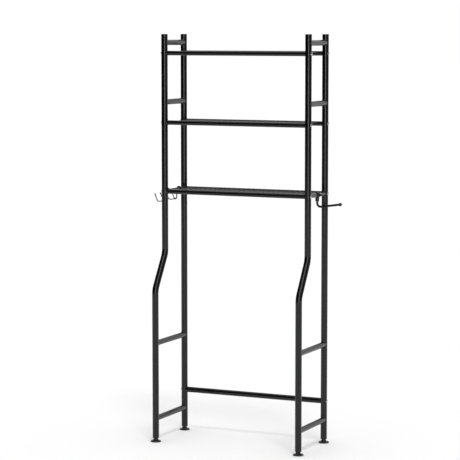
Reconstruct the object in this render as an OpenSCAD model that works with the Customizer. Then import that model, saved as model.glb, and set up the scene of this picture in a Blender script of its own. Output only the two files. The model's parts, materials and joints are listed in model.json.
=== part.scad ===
// Over-the-toilet storage rack: two welded side frames on bent front legs, three wire shelves bolted
// between them, a rear brace, levelling feet, two towel hooks and a paper holder. Millimetres, +Z up.

/* [Frame] */
// Overall height, floor to the top of the post caps
rack_h = 1600; // [1500:10:1750]
// Distance between the left and right post centres
width_cc = 609; // [560:1:700]
// Distance between the front and rear upper post centres
depth_cc = 171; // [160:1:260]
// How far the front legs step forward of the upper posts
leg_step = 87; // [60:1:120]
// Outside diameter of the posts and legs
post_d = 25.4; // [24:0.2:28]
// Wall thickness of every tube
wall = 1; // [0.8:0.1:1.5]
// Outside diameter of the welded side rungs
rung_d = 22; // [18:1:22]
// Outside diameter of the rung that carries the hooks and the paper holder
rail_d = 16; // [14:1:18]
// Height of the joint between upper posts and lower legs
splice_z = 932; // [915:1:940]
// Length of the swaged leg neck inside the upper post
neck_l = 38; // [25:1:40]
// Height of the upper bend corner of the front legs
bend_top_z = 740; // [700:1:780]
// Height of the lower bend corner of the front legs
bend_low_z = 604; // [580:1:640]
// Centre-line radius of the leg bends
bend_r = 60; // [45:5:80]

/* [Shelves] */
// Outside diameter of the shelf bars
bar_d = 18; // [16:1:20]
// Height of the bottom shelf bars
shelf_low_z = 984; // [983:1:1010]
// Vertical distance between shelves
shelf_pitch = 271; // [240:1:275]
// Diameter of the shelf wires
wire_d = 3.5; // [3:0.5:5]
// Number of wires that run front to back on each shelf
wire_n = 27; // [15:1:31]
// Number of cross wires under them
cross_n = 3; // [2:1:4]
// Height of the shelf wires above the centre of the bars
wire_rise = 4; // [2:0.5:5]
// Gap between the posts and the outermost wires
wire_inset = 20; // [18:1:60]

/* [Heights of rungs and brace] */
// Centre height of the top side rung
rung_top_z = 1567; // [1555:1:1575]
// Centre height of the rung between the top and middle shelves
rung_mid_z = 1335; // [1290:1:1390]
// Centre height of the upper leg rung
leg_rung_z = 392; // [300:1:500]
// Centre height of the lower leg rung
foot_rung_z = 93; // [80:1:120]
// Centre height of the rear brace
brace_z = 167; // [150:1:220]
// Outside diameter of the rear brace
brace_d = 22; // [18:1:22]

/* [Fasteners and feet] */
// Shank diameter of the frame bolts
bolt_d = 6; // [5:0.5:6]
// Head diameter of the frame bolts
bolt_head_d = 12; // [10:0.5:13]
// Head height of the frame bolts above the tube
bolt_head_h = 3.2; // [2.5:0.1:4]
// Diameter of the levelling foot pads
pad_d = 41; // [36:1:46]
// Height of the leg ends above the floor, feet screwed right in
leg_end_z = 15.5; // [15:0.5:18]
// Diameter of the levelling foot studs
stud_d = 8; // [7:0.5:8]

/* [Towel hooks] */
// Wire diameter of the towel hooks' prongs
hook_wire = 4; // [3:0.5:4]
// Wire diameter of the towel hooks' stems
stem_wire = 4.6; // [4.5:0.1:5]
// Distance between the two prongs of a towel hook
prong_gap = 48; // [40:1:50]
// How far the cross link hangs below the rung's centre
hook_drop = 40; // [36:1:46]
// How far the cross link stands out from the rung's centre
hook_reach = 23; // [22:1:36]
// Lean of the prongs away from the rung, in degrees
prong_lean = 22; // [0:1:30]
// Length of the straight end of a prong
prong_l = 24; // [14:1:26]
// Place of the front towel hook along the side rung, 0 at its middle
hook_front_y = -60; // [-60:1:-20]
// Place of the rear towel hook along the side rung, 0 at its middle
hook_rear_y = 39; // [36:1:60]

/* [Paper holder] */
// Rod diameter of the paper holder arm
arm_d = 9; // [8:0.5:10]
// Length of the straight part of the arm
arm_l = 80; // [70:1:110]
// Upward tilt of the arm in degrees
arm_tilt = 8; // [0:1:12]
// How far the arm's lowest point lies below the rung's centre
arm_drop = 45; // [42:1:52]
// Place of the paper holder along the side rung, 0 at its middle
holder_y = 8; // [-10:1:20]

/* [Hidden] */

$fn = 64;
fit = 0.05;
over = 1;
tube_id = post_d - 2 * wall;
post_x = width_cc / 2;
post_y = depth_cc / 2;
leg_y = -post_y - leg_step;
shelf_z = [for (i = [0:2]) shelf_low_z + i * shelf_pitch];
seam = 0.4;

// Bends of the front legs
bend_angle = atan(leg_step / (bend_top_z - bend_low_z));
bend_t = bend_r * tan(bend_angle / 2);
slant_l = norm([leg_step, bend_top_z - bend_low_z]) - 2 * bend_t;
lap = 0.5;
lap_step = 0.1;

// Post caps
cap_h = 2.5;
cap_edge_r = 1.2;
cap_plug_l = 14;
post_top_z = rack_h - cap_h;

// Bolts and nuts
bolt_hole_d = bolt_d + 0.5;
bolt_l = post_d + 16;
bolt_rim_h = 1;
bolt_key_d = 4.6;
bolt_key_depth = 2;
skirt_l = 2.2;
nut_l = 20;
nut_gap = 1.5;

// Shelf wires
wire_x = post_x - post_d / 2 - wire_inset;
wire_pitch = 2 * wire_x / (wire_n - 1);
cross_span = depth_cc - bar_d - 50;
cross_end = 5;

// Levelling feet
insert_l = 24;
insert_rim_h = 2;
stud_l = 40;
collar_d = 12;
collar_h = 2.5;
collar_z = 4;
hub_d = 19;
hub_z = 12;
rim_z = 5;
hex_d = 15;
hex_gap = 0.2;

// Towel hooks: an open ring on the rung, a stem, a cross link and two prongs
rail_x = -post_x;
ring_r = rail_d / 2 + stem_wire / 2 + fit;
ring_angle = 235;
hook_turn_r = 8;
link_turn_r = 5;
prong_turn_r = 8;
tip_d = hook_wire + 2.5;
link_x = rail_x - hook_reach;
link_z = shelf_low_z - hook_drop;
prong_x = link_x - link_turn_r - prong_turn_r * cos(prong_lean);
prong_tip_x = prong_x - prong_l * sin(prong_lean);

// Paper holder: a two-part clamp on the rung, a bent rod and a ball on its end
clamp_w = 16;
clamp_wall = 3;
ear_l = 9;
ear_h = 4;
clamp_split = 0.6;
neck_w = 15;
neck_bottom = 24;
socket_l = 10;
screw_d = 4;
screw_head_d = 7;
screw_head_h = 2.6;
arm_turn_r = 14;
arm_turn = 90 + arm_tilt;
arm_centre_z = shelf_low_z - arm_drop + arm_turn_r;
ball_d = 14;
ball_x = post_x + arm_turn_r + arm_turn_r * sin(arm_tilt) + arm_l * cos(arm_tilt);
ball_z = arm_centre_z - arm_turn_r * cos(arm_tilt) + arm_l * sin(arm_tilt);

// The origin is on the floor, in the middle of the rack's own bounding box.
centre_x = (ball_x + ball_d / 2 + prong_tip_x - tip_d / 2) / 2;
centre_y = (post_y + leg_y) / 2;

frame_black = "#161616";
plastic_black = "#1c1c1c";
zinc = "#b8bcc0";

module place() {
    translate([-centre_x, -centre_y, 0]) children();
}

// Lays a shape that is drawn along +Z along +X, halfway between the side frames.
module along_x(y, z) {
    translate([0, y, z]) rotate([0, 90, 0]) children();
}

// Lays a shape that is drawn along +Z along +Y.
module along_y(x, y, z) {
    translate([x, y, z]) rotate([-90, 0, 0]) children();
}

// The space of an upright, cut out of the ends of the tubes that meet it.
module post_space(x, y) {
    translate([x, y, -over]) cylinder(d = post_d, h = rack_h + 2 * over);
}

module bolt_hole(x, y, z) {
    translate([x, y, z]) rotate([0, 90, 0])
        cylinder(d = bolt_hole_d, h = post_d + 2 * over, center = true);
}

// Upper post: an open tube from the splice to the cap, drilled for the shelf bolts.
module post(x, y) {
    color(frame_black) place() difference() {
        translate([x, y, splice_z + seam]) cylinder(d = post_d, h = post_top_z - splice_z - seam);
        translate([x, y, splice_z]) cylinder(d = tube_id, h = rack_h);
        for (z = shelf_z) bolt_hole(x, y, z);
    }
}

// The leg's swaged neck, which plugs into the upper post. The bore runs through it.
module neck() {
    translate([0, 0, splice_z - neck_l])
        cylinder(d = tube_id - 2 * fit, h = 2 * neck_l);
}

module neck_bore() {
    translate([0, 0, splice_z - neck_l])
        cylinder(d = tube_id - 2 * fit - 2 * wall, h = 2 * neck_l + over);
}

module leg_rear(x) {
    bottom = leg_end_z + insert_rim_h;
    color(frame_black) place() difference() {
        translate([x, post_y, 0]) difference() {
            union() {
                translate([0, 0, bottom]) cylinder(d = post_d, h = splice_z - bottom);
                neck();
            }
            translate([0, 0, bottom - over]) cylinder(d = tube_id, h = splice_z - wall * 2 - bottom + over);
            neck_bore();
        }
        bolt_hole(x, post_y, brace_z);
    }
}

// One elbow of a front leg: an arc that starts at +Y and turns down.
module elbow(d, r, angle) {
    rotate([0, 0, 90]) rotate([-90, 0, 0])
        rotate_extrude(angle = angle) translate([r, 0]) circle(d = d);
}

// The front leg's bent centre line, swept with a round section of diameter d, top_z to bottom_z.
// The slanted stretch is a hair thinner and laps into both elbows, so that the three join up.
module bent_leg(d, top_z, bottom_z) {
    arc_top = bend_top_z + bend_t;
    arc_low = bend_low_z - bend_t;
    translate([0, -post_y, arc_top]) cylinder(d = d, h = top_z - arc_top);
    translate([0, -post_y - bend_r, arc_top]) elbow(d, bend_r, bend_angle);
    translate([0, -post_y - bend_t * sin(bend_angle), bend_top_z - bend_t * cos(bend_angle)])
        rotate([180 - bend_angle, 0, 0]) translate([0, 0, -lap])
            cylinder(d = d - lap_step, h = slant_l + 2 * lap);
    translate([0, leg_y + bend_r, arc_low]) rotate([180, 0, 0]) elbow(d, bend_r, bend_angle);
    translate([0, leg_y, arc_low]) rotate([180, 0, 0]) cylinder(d = d, h = arc_low - bottom_z);
}

module leg_front(x) {
    bottom = leg_end_z + insert_rim_h;
    color(frame_black) place() translate([x, 0, 0]) difference() {
        union() {
            bent_leg(post_d, splice_z, bottom);
            translate([0, -post_y, 0]) neck();
        }
        bent_leg(tube_id, splice_z - wall * 2, bottom - over);
        translate([0, -post_y, 0]) neck_bore();
    }
}

// A welded side rung, cut to sit on the two uprights that it joins.
module rung(x, y_front, z, d) {
    color(frame_black) place() difference() {
        along_y(x, y_front, z) cylinder(d = d, h = post_y - y_front);
        along_y(x, y_front - over, z) cylinder(d = d - 2 * wall, h = post_y - y_front + 2 * over);
        post_space(x, y_front);
        post_space(x, post_y);
    }
}

// A cross tube between the left and right uprights, bolted at both ends.
module cross_tube(y, z, d) {
    color(frame_black) place() difference() {
        along_x(y, z) cylinder(d = d, h = width_cc, center = true);
        along_x(y, z) cylinder(d = d - 2 * wall, h = width_cc + 2 * over, center = true);
        for (x = [-post_x, post_x]) post_space(x, y);
    }
}

module shelf_wires(z) {
    color(frame_black) place() difference() {
        union() {
            for (i = [0:wire_n - 1])
                along_y(-wire_x + i * wire_pitch, -post_y, z + wire_rise) cylinder(d = wire_d, h = depth_cc);
            for (i = [0:cross_n - 1])
                along_x(-cross_span / 2 + i * cross_span / (cross_n - 1), z + wire_rise - wire_d)
                    cylinder(d = wire_d, h = 2 * (wire_x + cross_end), center = true);
        }
        for (y = [-post_y, post_y])
            along_x(y, z) cylinder(d = bar_d, h = width_cc, center = true);
    }
}

module cap(x, y) {
    color(plastic_black) place() translate([x, y, post_top_z]) {
        difference() {
            union() {
                cylinder(d = post_d, h = cap_h - cap_edge_r);
                translate([0, 0, cap_h - cap_edge_r]) cylinder(d = post_d - 2 * cap_edge_r, h = cap_edge_r);
                translate([0, 0, cap_h - cap_edge_r]) rotate_extrude()
                    translate([post_d / 2 - cap_edge_r, 0]) circle(r = cap_edge_r);
                translate([0, 0, -cap_plug_l]) cylinder(d = tube_id - 2 * fit, h = cap_plug_l);
            }
            translate([0, 0, -cap_plug_l - over]) cylinder(d = tube_id - 2 * fit - 4, h = cap_plug_l);
        }
    }
}

// A button-head bolt drawn along +Z: its head starts at z = 0 and its shank runs to -Z.
module bolt() {
    dome_h = bolt_head_h - bolt_rim_h;
    dome_r = (pow(bolt_head_d / 2, 2) + pow(dome_h, 2)) / (2 * dome_h);
    difference() {
        union() {
            difference() {
                translate([0, 0, -skirt_l]) cylinder(d = bolt_head_d, h = skirt_l + bolt_rim_h);
                translate([0, 0, -post_d / 2]) rotate([0, 90, 0])
                    cylinder(d = post_d, h = bolt_head_d + over, center = true);
            }
            translate([0, 0, bolt_rim_h]) rotate_extrude() intersection() {
                translate([0, dome_h - dome_r]) circle(r = dome_r);
                square([bolt_head_d / 2, dome_h]);
            }
            translate([0, 0, -bolt_l]) cylinder(d = bolt_d, h = bolt_l + bolt_rim_h);
        }
        translate([0, 0, bolt_head_h - bolt_key_depth])
            cylinder(d = bolt_key_d, h = bolt_key_depth + over, $fn = 6);
    }
}

module bolt_pair(y, z) {
    for (side = [-1, 1])
        translate([side * (post_x + post_d / 2), y, z]) rotate([0, side * 90, 0]) bolt();
}

module frame_bolts() {
    color(zinc) place() {
        for (y = [-post_y, post_y])
            for (z = shelf_z) bolt_pair(y, z);
        bolt_pair(post_y, brace_z);
    }
}

// Threaded plugs inside both ends of a cross tube. They take the frame bolts.
module nut_pair(y, z, d) {
    for (side = [-1, 1])
        translate([side * (post_x - post_d / 2 - nut_gap - nut_l / 2), y, z]) rotate([0, 90, 0])
            difference() {
                cylinder(d = d - 2 * wall - 2 * fit, h = nut_l, center = true);
                cylinder(d = bolt_d + 2 * fit, h = nut_l + over, center = true);
            }
}

module shelf_bar_nuts() {
    color(zinc) place()
        for (y = [-post_y, post_y])
            for (z = shelf_z) nut_pair(y, z, bar_d);
}

module brace_nuts() {
    color(zinc) place() nut_pair(post_y, brace_z, brace_d);
}

// Plastic plug in the leg's end, with the threaded bore for the levelling stud.
module foot_insert(x, y) {
    color(plastic_black) place() translate([x, y, leg_end_z]) difference() {
        union() {
            cylinder(d = post_d, h = insert_rim_h);
            cylinder(d = tube_id - 2 * fit, h = insert_rim_h + insert_l);
        }
        translate([0, 0, -over]) cylinder(d = stud_d + 2 * fit, h = insert_rim_h + insert_l + 2 * over);
    }
}

// Foot pad: a flat dish under a cone, with a hub that holds the stud's collar.
module foot_pad(x, y) {
    edge = 1.2;
    color(plastic_black) place() translate([x, y, 0]) rotate_extrude() difference() {
        polygon([
            [0, 0], [pad_d / 2 - edge, 0], [pad_d / 2, edge], [pad_d / 2, rim_z - edge],
            [pad_d / 2 - edge, rim_z], [pad_d / 2 - 3, rim_z], [hub_d / 2 + 1, rim_z + 2.5],
            [hub_d / 2, hub_z - 1], [hub_d / 2 - 1, hub_z], [0, hub_z]
        ]);
        translate([0, collar_z - fit]) square([collar_d / 2 + fit, collar_h + 2 * fit]);
        translate([0, collar_z]) square([stud_d / 2 + fit, hub_z]);
    }
}

// Levelling stud: a threaded rod with a collar in the pad and a hexagon to turn it by.
module foot_stud(x, y) {
    color(zinc) place() translate([x, y, 0]) {
        translate([0, 0, collar_z]) cylinder(d = stud_d, h = stud_l);
        translate([0, 0, collar_z]) cylinder(d = collar_d, h = collar_h);
        translate([0, 0, hub_z + hex_gap])
            cylinder(d = hex_d, h = leg_end_z - hub_z - 2 * hex_gap, $fn = 6);
    }
}

// A bend in the X-Z plane: an arc of radius r that starts at start degrees from +X towards +Z
// and turns by angle, which is negative when it runs back towards +X.
module bend_xz(d, r, start, angle) {
    way = sign(angle);
    rotate([way * 90, 0, 0]) rotate([0, 0, way * start]) rotate_extrude(angle = abs(angle))
        translate([r, 0]) circle(d = d);
}

// A rod along +Z with a ball on its far end, turned as one profile.
module rod_with_ball(d, l, ball) {
    rotate_extrude() intersection() {
        union() {
            square([d / 2, l]);
            translate([0, l]) circle(d = ball);
        }
        square([ball, l + ball]);
    }
}

module prong(side) {
    end_y = side * prong_gap / 2;
    // from the link round to -X
    translate([link_x - link_turn_r, end_y - side * link_turn_r, link_z])
        rotate([0, 0, side > 0 ? 0 : -90]) rotate_extrude(angle = 90)
            translate([link_turn_r, 0]) circle(d = hook_wire);
    // from -X up to the tip
    translate([link_x - link_turn_r, end_y, link_z + prong_turn_r])
        bend_xz(hook_wire, prong_turn_r, 270, prong_lean - 90);
    translate([prong_x, end_y, link_z + prong_turn_r * (1 - sin(prong_lean))])
        rotate([0, -prong_lean, 0]) translate([0, 0, -lap])
            rod_with_ball(hook_wire - lap_step, prong_l + lap, tip_d);
}

module towel_hook(y) {
    link_l = prong_gap - 2 * link_turn_r;
    stem_x = rail_x - ring_r;
    color(frame_black) place() translate([0, y, 0]) {
        translate([rail_x, 0, shelf_low_z]) bend_xz(stem_wire, ring_r, 180, -ring_angle);
        translate([stem_x, 0, link_z + hook_turn_r])
            cylinder(d = stem_wire, h = hook_drop - hook_turn_r);
        translate([stem_x - hook_turn_r, 0, link_z + hook_turn_r])
            bend_xz(stem_wire, hook_turn_r, 270, 90);
        translate([link_x, 0, link_z]) rotate([0, 90, 0])
            cylinder(d = stem_wire, h = stem_x - hook_turn_r - link_x);
        translate([link_x, -link_l / 2, link_z]) rotate([-90, 0, 0])
            cylinder(d = hook_wire, h = link_l);
        for (side = [-1, 1]) prong(side);
    }
}

// The outside of the holder's clamp around the rung, ears included, before it is split and bored.
module clamp_blank() {
    rotate([-90, 0, 0]) cylinder(d = rail_d + 2 * clamp_wall, h = clamp_w, center = true);
    cube([rail_d + 2 * clamp_wall + 2 * ear_l, clamp_w, 2 * ear_h], center = true);
}

module clamp_bore() {
    rotate([-90, 0, 0]) cylinder(d = rail_d + 2 * fit, h = clamp_w + over, center = true);
    for (side = [-1, 1])
        translate([side * (rail_d / 2 + clamp_wall + ear_l / 2), 0, 0])
            cylinder(d = screw_d + 2 * fit, h = 4 * ear_h, center = true);
}

module half_space(side) {
    size = 4 * rail_d;
    translate([-size / 2, -size / 2, side > 0 ? clamp_split / 2 : -size - clamp_split / 2]) cube(size);
}

module at_clamp() {
    color(plastic_black) place() translate([post_x, holder_y, shelf_low_z]) children();
}

module holder_clamp_top() {
    at_clamp() difference() {
        intersection() {
            clamp_blank();
            half_space(1);
        }
        clamp_bore();
    }
}

module holder_clamp_base() {
    at_clamp() difference() {
        union() {
            intersection() {
                clamp_blank();
                half_space(-1);
            }
            translate([0, 0, -neck_bottom]) cylinder(d = neck_w, h = neck_bottom - rail_d / 2);
        }
        clamp_bore();
        translate([0, 0, -neck_bottom - over]) cylinder(d = arm_d + 2 * fit, h = socket_l + over + fit);
    }
}

module holder_screws() {
    color(zinc) place()
        for (side = [-1, 1])
            translate([
                post_x + side * (rail_d / 2 + clamp_wall + ear_l / 2), holder_y, shelf_low_z + ear_h
            ]) difference() {
                union() {
                    cylinder(d = screw_head_d, h = screw_head_h);
                    translate([0, 0, -2 * ear_h]) cylinder(d = screw_d, h = 2 * ear_h + screw_head_h);
                }
                translate([0, 0, screw_head_h / 2]) cylinder(d = screw_d * 0.7, h = screw_head_h, $fn = 6);
            }
}

module holder_arm() {
    top_z = shelf_low_z - neck_bottom + socket_l;
    color(frame_black) place() translate([post_x, holder_y, 0]) {
        translate([0, 0, arm_centre_z]) cylinder(d = arm_d, h = top_z - arm_centre_z);
        translate([arm_turn_r, 0, arm_centre_z]) bend_xz(arm_d, arm_turn_r, 180, arm_turn);
        // a hair thinner than the bend, and lapped into it, so that the two join up
        translate([
            arm_turn_r + arm_turn_r * sin(arm_tilt), 0, arm_centre_z - arm_turn_r * cos(arm_tilt)
        ]) rotate([0, 90 - arm_tilt, 0]) translate([0, 0, -lap])
            cylinder(d = arm_d - lap_step, h = arm_l + lap);
    }
}

module holder_end_ball() {
    color(plastic_black) place() translate([ball_x, holder_y, ball_z]) rotate([0, 90 - arm_tilt, 0])
        rotate_extrude() difference() {
            intersection() {
                circle(d = ball_d);
                translate([0, -ball_d]) square(2 * ball_d);
            }
            translate([0, -ball_d]) square([arm_d / 2, ball_d]);
        }
}

post(-post_x, -post_y);  // post_front_left
post(post_x, -post_y);  // post_front_right
post(-post_x, post_y);  // post_rear_left
post(post_x, post_y);  // post_rear_right
leg_front(-post_x);  // leg_front_left
leg_front(post_x);  // leg_front_right
leg_rear(-post_x);  // leg_rear_left
leg_rear(post_x);  // leg_rear_right
rung(-post_x, -post_y, rung_top_z, rung_d);  // rung_top_left
rung(post_x, -post_y, rung_top_z, rung_d);  // rung_top_right
rung(-post_x, -post_y, rung_mid_z, rung_d);  // rung_middle_left
rung(post_x, -post_y, rung_mid_z, rung_d);  // rung_middle_right
rung(-post_x, -post_y, shelf_low_z, rail_d);  // rung_hooks_left
rung(post_x, -post_y, shelf_low_z, rail_d);  // rung_holder_right
rung(-post_x, leg_y, leg_rung_z, rung_d);  // leg_rung_upper_left
rung(post_x, leg_y, leg_rung_z, rung_d);  // leg_rung_upper_right
rung(-post_x, leg_y, foot_rung_z, rung_d);  // leg_rung_lower_left
rung(post_x, leg_y, foot_rung_z, rung_d);  // leg_rung_lower_right
cross_tube(post_y, brace_z, brace_d);  // rear_brace
cross_tube(-post_y, shelf_z[2], bar_d);  // shelf_top_front_bar
cross_tube(post_y, shelf_z[2], bar_d);  // shelf_top_rear_bar
shelf_wires(shelf_z[2]);  // shelf_top_wires
cross_tube(-post_y, shelf_z[1], bar_d);  // shelf_middle_front_bar
cross_tube(post_y, shelf_z[1], bar_d);  // shelf_middle_rear_bar
shelf_wires(shelf_z[1]);  // shelf_middle_wires
cross_tube(-post_y, shelf_z[0], bar_d);  // shelf_bottom_front_bar
cross_tube(post_y, shelf_z[0], bar_d);  // shelf_bottom_rear_bar
shelf_wires(shelf_z[0]);  // shelf_bottom_wires
cap(-post_x, -post_y);  // cap_front_left
cap(post_x, -post_y);  // cap_front_right
cap(-post_x, post_y);  // cap_rear_left
cap(post_x, post_y);  // cap_rear_right
frame_bolts();
shelf_bar_nuts();
brace_nuts();
foot_insert(-post_x, leg_y);  // foot_insert_front_left
foot_insert(post_x, leg_y);  // foot_insert_front_right
foot_insert(-post_x, post_y);  // foot_insert_rear_left
foot_insert(post_x, post_y);  // foot_insert_rear_right
foot_pad(-post_x, leg_y);  // foot_pad_front_left
foot_pad(post_x, leg_y);  // foot_pad_front_right
foot_pad(-post_x, post_y);  // foot_pad_rear_left
foot_pad(post_x, post_y);  // foot_pad_rear_right
foot_stud(-post_x, leg_y);  // foot_stud_front_left
foot_stud(post_x, leg_y);  // foot_stud_front_right
foot_stud(-post_x, post_y);  // foot_stud_rear_left
foot_stud(post_x, post_y);  // foot_stud_rear_right
towel_hook(hook_front_y);  // towel_hook_front
towel_hook(hook_rear_y);  // towel_hook_rear
holder_clamp_base();
holder_clamp_top();
holder_screws();
holder_arm();
holder_end_ball();
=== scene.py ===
"""Over-the-toilet storage rack: materials, welds, threads, light and camera round the CAD frame. Metres."""

import json
import math

import bpy
import numpy as np
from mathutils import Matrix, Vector


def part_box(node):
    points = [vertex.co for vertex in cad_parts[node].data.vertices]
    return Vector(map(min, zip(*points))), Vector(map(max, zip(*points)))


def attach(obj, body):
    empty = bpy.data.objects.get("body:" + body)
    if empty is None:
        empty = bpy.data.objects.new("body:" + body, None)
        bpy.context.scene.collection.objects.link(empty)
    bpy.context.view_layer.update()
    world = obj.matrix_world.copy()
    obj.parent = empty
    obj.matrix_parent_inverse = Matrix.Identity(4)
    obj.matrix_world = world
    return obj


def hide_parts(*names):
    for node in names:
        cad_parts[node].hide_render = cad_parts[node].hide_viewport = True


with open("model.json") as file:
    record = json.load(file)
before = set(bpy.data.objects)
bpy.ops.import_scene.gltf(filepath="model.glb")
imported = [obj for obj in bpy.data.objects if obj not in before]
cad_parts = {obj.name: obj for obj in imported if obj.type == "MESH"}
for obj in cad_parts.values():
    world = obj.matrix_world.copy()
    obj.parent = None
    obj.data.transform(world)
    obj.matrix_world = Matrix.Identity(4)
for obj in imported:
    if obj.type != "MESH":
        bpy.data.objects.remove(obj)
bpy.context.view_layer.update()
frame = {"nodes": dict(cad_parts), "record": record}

MM = 0.001
SIDES = ("left", "right")
SHELVES = ("top", "middle", "bottom")
CORNERS = ("front_left", "front_right", "rear_left", "rear_right")


# ---------------------------------------------------------------- places, read from the frame
def box(node):
    low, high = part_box(node)
    return np.array(low), np.array(high)


def centre(node):
    low, high = box(node)
    return (low + high) / 2


def width(node, axis):
    low, high = box(node)
    return high[axis] - low[axis]


post_r = width("post_front_left", 0) / 2
post_x = {s: centre("post_rear_" + s)[0] for s in SIDES}
rear_y = centre("post_rear_left")[1]
post_y = centre("post_front_left")[1]
leg_y = centre("foot_insert_front_left")[1]
mid_x = (post_x["left"] + post_x["right"]) / 2
mid_y = (rear_y + post_y) / 2


# ---------------------------------------------------------------- mesh helpers
def mesh_piece(name, points, faces, body, smooth=None):
    """A mesh object that rides on a CAD body. Faces are smooth up to the given angle."""
    mesh = bpy.data.meshes.new(name)
    mesh.from_pydata([tuple(map(float, p)) for p in points], [], [tuple(map(int, f)) for f in faces])
    mesh.validate()
    piece = bpy.data.objects.new(name, mesh)
    bpy.context.scene.collection.objects.link(piece)
    if smooth is not None:
        mesh.polygons.foreach_set("use_smooth", [True] * len(mesh.polygons))
        mesh.set_sharp_from_angle(angle=math.radians(smooth))
    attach(piece, body)
    return piece


class Builder:
    """Collects closed grids of points into one mesh."""

    def __init__(self):
        self.points, self.faces = [], []

    def ring(self, rows):
        """A torus: rows is (n, m, 3), closed both ways."""
        n, m = len(rows), len(rows[0])
        base = len(self.points)
        self.points += [p for row in rows for p in row]
        for i in range(n):
            for j in range(m):
                a, b = base + i * m + j, base + i * m + (j + 1) % m
                c, d = base + (i + 1) % n * m + (j + 1) % m, base + (i + 1) % n * m + j
                self.faces.append((a, b, c, d))

    def lathe(self, rows):
        """A closed solid of stacked rings: rows is (n, m, 3), each ring closed, with a cap at each end."""
        n, m = len(rows), len(rows[0])
        base = len(self.points)
        self.points += [p for row in rows for p in row]
        for i in range(n - 1):
            for j in range(m):
                a, b = base + i * m + j, base + i * m + (j + 1) % m
                self.faces.append((a, b, b + m, a + m))
        for row, turn in ((0, -1), (n - 1, 1)):
            hub = len(self.points)
            self.points.append(np.mean(rows[row], axis=0))
            for j in range(m):
                a, b = base + row * m + j, base + row * m + (j + 1) % m
                self.faces.append((a, b, hub) if turn > 0 else (b, a, hub))

    def piece(self, name, body, smooth=None):
        return mesh_piece(name, self.points, self.faces, body, smooth)


def weld_bead(made, where, away, along, r, big_r, offset, size, phase, steps=56, profile=7, ripple=0.1):
    """A weld bead round the end of a small tube that meets a big one.
    where is on the big tube's axis, away runs along the small tube and along runs along the big one."""
    a, b = np.array(away, float), np.array(along, float)
    c = np.cross(a, b)
    rows = []
    for i in range(steps):
        t = 2 * math.pi * i / steps
        rise = offset + r * math.sin(t)
        reach = math.sqrt(max(big_r**2 - rise**2, 0))
        at = np.array(where) + r * math.cos(t) * b + rise * c + reach * a
        n_big = (reach * a + rise * c) / big_r
        n_small = math.cos(t) * b + math.sin(t) * c
        tangent = np.cross(n_big, n_small)
        tangent /= np.linalg.norm(tangent)
        on_small = np.cross(tangent, n_small)
        on_small *= np.sign(on_small @ n_big)
        on_big = np.cross(tangent, n_big)
        on_big *= np.sign(on_big @ n_small)
        wave = 1 + ripple * math.sin(t * steps / 4 + phase) + 0.5 * ripple * math.sin(5 * t + 2 * phase)
        inside = at - 0.35 * size * (n_big + n_small)
        row = [inside]
        for k in range(profile):
            f = k / (profile - 1)
            out = 4 * f * (1 - f)
            p = at + size * wave * ((1 - f) * on_small + f * on_big)
            p = p - 0.16 * size * (1 - out) * ((1 - f) * n_small + f * n_big)
            p = p + 0.12 * size * out * (n_big + n_small)
            row.append(p)
        rows.append(row)
    flip = np.dot(np.cross(rows[1][1] - rows[0][1], rows[0][2] - rows[0][1]), rows[0][3] - rows[0][0])
    made.ring(rows if flip < 0 else [row[::-1] for row in rows])


# ---------------------------------------------------------------- materials
def new_material(name):
    material = bpy.data.materials.new(name)
    material.use_nodes = True
    nodes = material.node_tree.nodes
    nodes.clear()
    shader = nodes.new("ShaderNodeBsdfPrincipled")
    out = nodes.new("ShaderNodeOutputMaterial")
    material.node_tree.links.new(shader.outputs["BSDF"], out.inputs["Surface"])
    coord = nodes.new("ShaderNodeTexCoord")
    return material, nodes, material.node_tree.links.new, shader, coord.outputs["Object"]


def noise(nodes, link, coord, scale, detail=2.0, rough=0.5, stretch=None):
    texture = nodes.new("ShaderNodeTexNoise")
    texture.inputs["Scale"].default_value = scale
    texture.inputs["Detail"].default_value = detail
    texture.inputs["Roughness"].default_value = rough
    if stretch is None:
        link(coord, texture.inputs["Vector"])
    else:
        mapping = nodes.new("ShaderNodeMapping")
        mapping.inputs["Scale"].default_value = stretch
        link(coord, mapping.inputs["Vector"])
        link(mapping.outputs["Vector"], texture.inputs["Vector"])
    return texture.outputs["Fac"]


def remap(nodes, link, value, low, high, start=0.3, end=0.7):
    """value from start to end gives low to high."""
    node = nodes.new("ShaderNodeMapRange")
    for name, number in (("From Min", start), ("From Max", end), ("To Min", low), ("To Max", high)):
        node.inputs[name].default_value = number
    link(value, node.inputs["Value"])
    return node.outputs["Result"]


def two_tone(nodes, link, value, dark, light, start=0.35, end=0.65):
    ramp = nodes.new("ShaderNodeValToRGB")
    ramp.color_ramp.elements[0].position, ramp.color_ramp.elements[1].position = start, end
    ramp.color_ramp.elements[0].color, ramp.color_ramp.elements[1].color = (*dark, 1), (*light, 1)
    link(value, ramp.inputs["Fac"])
    return ramp.outputs["Color"]


def bump(nodes, link, layers):
    """layers is [(height, distance in metres, strength)], finest first."""
    normal = None
    for height, distance, strength in layers:
        node = nodes.new("ShaderNodeBump")
        node.inputs["Distance"].default_value = distance
        node.inputs["Strength"].default_value = strength
        link(height, node.inputs["Height"])
        if normal is not None:
            link(normal, node.inputs["Normal"])
        normal = node.outputs["Normal"]
    return normal


def powder_coat(name, dark, light, rough, peel=0.5, specular=0.40):
    """Baked powder coat: satin, with fine orange peel and a faint unevenness of gloss."""
    material, nodes, link, shader, coord = new_material(name)
    link(two_tone(nodes, link, noise(nodes, link, coord, 35, 4), dark, light), shader.inputs["Base Color"])
    gloss = noise(nodes, link, coord, 260, 3)
    link(remap(nodes, link, gloss, rough - 0.05, rough + 0.07), shader.inputs["Roughness"])
    shader.inputs["Specular IOR Level"].default_value = specular
    fine = noise(nodes, link, coord, 2600, 1)
    wavy = noise(nodes, link, coord, 420, 2)
    link(bump(nodes, link, [(fine, 0.00001, peel), (wavy, 0.00004, peel)]), shader.inputs["Normal"])
    return material


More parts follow.
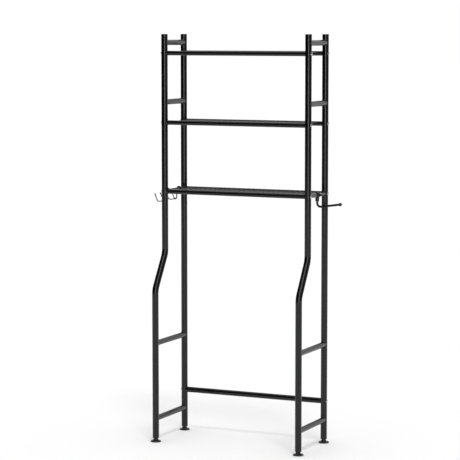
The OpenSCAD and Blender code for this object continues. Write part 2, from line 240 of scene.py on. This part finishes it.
def moulded_plastic(name, dark, light, rough):
    """Injection-moulded plastic with a fine spark-eroded grain."""
    material, nodes, link, shader, coord = new_material(name)
    link(two_tone(nodes, link, noise(nodes, link, coord, 120, 4), dark, light), shader.inputs["Base Color"])
    gloss = noise(nodes, link, coord, 900, 3)
    link(remap(nodes, link, gloss, rough - 0.08, rough + 0.08), shader.inputs["Roughness"])
    grain = noise(nodes, link, coord, 3200, 2)
    link(bump(nodes, link, [(grain, 0.00005, 0.6)]), shader.inputs["Normal"])
    return material


def zinc_plate(name, dark, light):
    """Zinc-plated steel: fine turning marks, patches of duller plate."""
    material, nodes, link, shader, coord = new_material(name)
    patch = noise(nodes, link, coord, 240, 5)
    link(two_tone(nodes, link, patch, dark, light), shader.inputs["Base Color"])
    link(remap(nodes, link, noise(nodes, link, coord, 1500, 3), 0.2, 0.38), shader.inputs["Roughness"])
    shader.inputs["Metallic"].default_value = 1.0
    scratches = noise(nodes, link, coord, 1800, 3, stretch=(1, 1, 6))
    link(bump(nodes, link, [(scratches, 0.00003, 0.5)]), shader.inputs["Normal"])
    return material


frame_coat = powder_coat("frame_coat", (0.0010, 0.0010, 0.0011), (0.0018, 0.0018, 0.0020), 0.16)
weld_coat = powder_coat("weld_coat", (0.0020, 0.0020, 0.0022), (0.0040, 0.0040, 0.0042), 0.28, peel=0.9)
wire_coat = powder_coat("wire_coat", (0.0020, 0.0020, 0.0022), (0.0036, 0.0036, 0.0038), 0.26, specular=0.2)
black_plastic = moulded_plastic("black_plastic", (0.005, 0.005, 0.0052), (0.009, 0.009, 0.0093), 0.48)
zinc = zinc_plate("zinc", (0.50, 0.51, 0.53), (0.72, 0.73, 0.74))
black_zinc = zinc_plate("black_zinc", (0.020, 0.020, 0.022), (0.040, 0.040, 0.043))

SLOT_MATERIAL = {
    "frame_coat": frame_coat, "black_plastic": black_plastic, "zinc_steel": zinc, "black_zinc": black_zinc,
}
slot_of = {s["node"]: s["material_slot"] for s in frame["record"]["subparts"]}


def paint(piece, material):
    piece.data.materials.clear()
    piece.data.materials.append(material)


for name, node in frame["nodes"].items():
    material = SLOT_MATERIAL[slot_of[name]]
    if name.endswith("_wires"):
        material = wire_coat
    for i in range(len(node.material_slots)):
        node.material_slots[i].link = "OBJECT"
        node.material_slots[i].material = material

# ---------------------------------------------------------------- welds of the side rungs
RUNG_BEAD = 2.4 * MM
for side in SIDES:
    for kind, y_front in (
        ("rung_top_" + side, post_y),
        ("rung_middle_" + side, post_y),
        ("rung_hooks_left" if side == "left" else "rung_holder_right", post_y),
        ("leg_rung_upper_" + side, leg_y),
        ("leg_rung_lower_" + side, leg_y),
    ):
        r, z = width(kind, 2) / 2, centre(kind)[2]
        made = Builder()
        for y, way in ((y_front, 1), (rear_y, -1)):
            where, phase = (post_x[side], y, z), 7 * z + way
            weld_bead(made, where, (0, way, 0), (0, 0, 1), r, post_r, 0, RUNG_BEAD, phase)
        bead = made.piece("welds_" + kind, "rack", smooth=50)
        paint(bead, weld_coat)

# ---------------------------------------------------------------- welds of the shelf wires
WIRES, CROSS_WIRES = 27, 3
WIRE_OVERHANG = 5 * MM
CROSS_INSET = 50 * MM
WIRE_BEAD = 1.1 * MM
WIRE_BEAD_STEPS, WIRE_BEAD_PROFILE, WIRE_BEAD_RIPPLE = 18, 5, 0.05
SPOT_WIDTH, SPOT_HEIGHT = 0.87, 0.45  # a spot weld's half sizes, as shares of the wire's radius
SPOT_RINGS, SPOT_SIDES = 8, 12
for shelf in SHELVES:
    wires = "shelf_%s_wires" % shelf
    low, high = box(wires)
    bar_r = width("shelf_%s_front_bar" % shelf, 2) / 2
    bar_z = centre("shelf_%s_front_bar" % shelf)[2]
    wire_r = (high[2] - low[2]) / 4
    wire_rise = high[2] - wire_r - bar_z
    last_x = high[0] - WIRE_OVERHANG
    first_x = low[0] + WIRE_OVERHANG
    cross_span = (rear_y - post_y) - 2 * bar_r - CROSS_INSET
    made = Builder()
    for i in range(WIRES):
        x = first_x + (last_x - first_x) * i / (WIRES - 1)
        for y, way in ((post_y, 1), (rear_y, -1)):
            weld_bead(
                made, (x, y, bar_z), (0, way, 0), (-way, 0, 0), wire_r, bar_r, wire_rise, WIRE_BEAD, i,
                WIRE_BEAD_STEPS, WIRE_BEAD_PROFILE, WIRE_BEAD_RIPPLE,
            )
        for j in range(CROSS_WIRES):
            y = mid_y - cross_span / 2 + cross_span * j / (CROSS_WIRES - 1)
            z = bar_z + wire_rise - wire_r
            rows = []
            for k in range(1, SPOT_RINGS):
                lat = math.pi * (k / SPOT_RINGS - 0.5)
                rows.append([
                    np.array((
                        x + SPOT_WIDTH * wire_r * math.cos(lat) * math.cos(2 * math.pi * m / SPOT_SIDES),
                        y + SPOT_WIDTH * wire_r * math.cos(lat) * math.sin(2 * math.pi * m / SPOT_SIDES),
                        z + SPOT_HEIGHT * wire_r * math.sin(lat),
                    ))
                    for m in range(SPOT_SIDES)
                ])
            made.lathe(rows)
    welds = made.piece("shelf_%s_wire_welds" % shelf, "rack", smooth=60)
    paint(welds, weld_coat)


# ---------------------------------------------------------------- levelling studs with a real thread
def stud_rows(x, y):
    """Rings of points up a levelling stud: collar, hexagon and M8 thread.
    The studs are alike, so the heights come from the front left one."""
    pitch, crest, root = 1.25 * MM, 4.0 * MM, 3.42 * MM
    columns = 36
    low, high = box("foot_stud_front_left")
    z0, z1 = low[2], high[2]
    hex_low, hex_high = 12.2 * MM, 15.3 * MM
    apothem = 7.5 * MM * math.cos(math.pi / 6)
    levels = [
        (z0, 6.0 * MM, "round"), (z0 + 2.5 * MM, 6.0 * MM, "round"), (z0 + 2.5 * MM, crest, "round"),
        (hex_low, crest, "round"), (hex_low, 6.3 * MM, "hex"), (hex_low + 0.5 * MM, 7.5 * MM, "hex"),
        (hex_high - 0.5 * MM, 7.5 * MM, "hex"), (hex_high, 6.3 * MM, "hex"), (hex_high, root, "round"),
    ]
    z = hex_high + pitch / 8
    while z < z1 - 0.8 * MM:
        levels.append((z, None, "thread"))
        z += pitch / 8
    levels += [(z1 - 0.6 * MM, root, "round"), (z1, root - 0.6 * MM, "round")]
    rows = []
    for z, r, kind in levels:
        row = []
        for j in range(columns):
            t = 2 * math.pi * j / columns
            radius = r
            if kind == "hex":
                radius = min(r, apothem / math.cos((t + math.pi / 6) % (math.pi / 3) - math.pi / 6))
            elif kind == "thread":
                turn = ((z - hex_high) / pitch - j / columns) % 1
                radius = root + (crest - root) * min(1, max(0, 1.25 - abs(turn - 0.5) * 3.2))
            row.append(np.array((x + radius * math.cos(t), y + radius * math.sin(t), z)))
        rows.append(row)
    return rows


for corner in CORNERS:
    node = "foot_stud_" + corner
    x, y, _ = centre(node)
    made = Builder()
    made.lathe(stud_rows(x, y))
    stud = made.piece("threaded_stud_" + corner, node, smooth=35)
    paint(stud, black_zinc)
    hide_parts(node)

# ---------------------------------------------------------------- floor, backdrop light and camera
def stage_material(name, colour, rough):
    material, nodes, link, shader, coord = new_material(name)
    shader.inputs["Base Color"].default_value = (*colour, 1)
    shader.inputs["Roughness"].default_value = rough
    shader.inputs["Specular IOR Level"].default_value = 0.1
    return material


def disc(name, radius, z, segments=96):
    points = [(0, 0, z)] + [
        (radius * math.cos(2 * math.pi * i / segments), radius * math.sin(2 * math.pi * i / segments), z)
        for i in range(segments)
    ]
    faces = [(0, i + 1, (i + 1) % segments + 1) for i in range(segments)]
    mesh = bpy.data.meshes.new(name)
    mesh.from_pydata(points, [], faces)
    made = bpy.data.objects.new(name, mesh)
    bpy.context.scene.collection.objects.link(made)
    return made


floor = disc("floor", 80, 0)
paint(floor, stage_material("floor", (0.86, 0.86, 0.86), 0.7))


def studio_wall(name, radius, azimuths, heights, colour, glow=0.0):
    """A curved panel round the set. Only reflections see it, so it shapes the gloss of the black tubes.
    azimuths are in degrees from the front, positive to the right."""
    points, faces, parts = [], [], 24
    for i in range(parts + 1):
        t = math.radians(azimuths[0] + (azimuths[1] - azimuths[0]) * i / parts)
        points += [(radius * math.sin(t), -radius * math.cos(t), z) for z in heights]
    for i in range(parts):
        faces.append((2 * i, 2 * i + 2, 2 * i + 3, 2 * i + 1))
    mesh = bpy.data.meshes.new(name)
    mesh.from_pydata(points, [], faces)
    wall = bpy.data.objects.new(name, mesh)
    bpy.context.scene.collection.objects.link(wall)
    material = stage_material(name, (colour,) * 3, 1.0)
    shader = next(n for n in material.node_tree.nodes if n.type == "BSDF_PRINCIPLED")
    shader.inputs["Emission Color"].default_value = (1, 1, 1, 1)
    shader.inputs["Emission Strength"].default_value = glow
    paint(wall, material)
    for ray in ("camera", "diffuse", "transmission", "volume_scatter", "shadow"):
        setattr(wall, "visible_" + ray, False)


VIEW_AZIMUTH = 24.79
studio_wall("flag_left", 6.2, (VIEW_AZIMUTH - 150, VIEW_AZIMUTH - 6), (0.38, 9.0), 0.01)
studio_wall("flag_right", 6.2, (VIEW_AZIMUTH + 30, VIEW_AZIMUTH + 115), (0.38, 9.0), 0.2)
studio_wall("strip_light", 6.3, (VIEW_AZIMUTH - 6, VIEW_AZIMUTH + 6), (0.38, 9.0), 0.5, glow=6.4)

world = bpy.data.worlds.new("studio")
bpy.context.scene.world = world
world.use_nodes = True
world.node_tree.nodes["Background"].inputs["Color"].default_value = (1, 1, 1, 1)
world.node_tree.nodes["Background"].inputs["Strength"].default_value = 1.0

sun = bpy.data.lights.new("sun", "SUN")
sun.energy, sun.angle = 0.75, math.radians(12)
sun_object = bpy.data.objects.new("sun", sun)
sun_object.rotation_mode = "QUATERNION"
sun_object.rotation_quaternion = Vector((-0.35, 0.45, -1.0)).to_track_quat("-Z", "Y")
bpy.context.scene.collection.objects.link(sun_object)

# The view that the rack is matched in, fitted on the posts, rungs, bars and feet: angles in degrees,
# distance and target in units of a 600 mm post spacing, focal length in units of the picture's width.
AZIMUTH, PITCH = math.radians(24.79), math.radians(5.83)
UNIT = (post_x["right"] - post_x["left"]) / 600
DISTANCE, TARGET_X, TARGET_Z = 7615.6 * UNIT, -55.39 * UNIT, 821.4 * UNIT
FOCAL, SENSOR = 4.276, 36.0

target = Vector((mid_x + TARGET_X, mid_y, TARGET_Z))
back = Vector((
    math.sin(AZIMUTH) * math.cos(PITCH), -math.cos(AZIMUTH) * math.cos(PITCH), math.sin(PITCH),
))
lens = bpy.data.cameras.new("camera")
lens.sensor_width, lens.lens, lens.shift_x = SENSOR, FOCAL * SENSOR, -0.0029
lens.clip_end = 300
camera = bpy.data.objects.new("camera", lens)
camera.location = target + back * DISTANCE
camera.rotation_mode = "QUATERNION"
camera.rotation_quaternion = (-back).to_track_quat("-Z", "Y")
bpy.context.scene.collection.objects.link(camera)
bpy.context.scene.camera = camera
bpy.context.scene.view_settings.view_transform = "Standard"
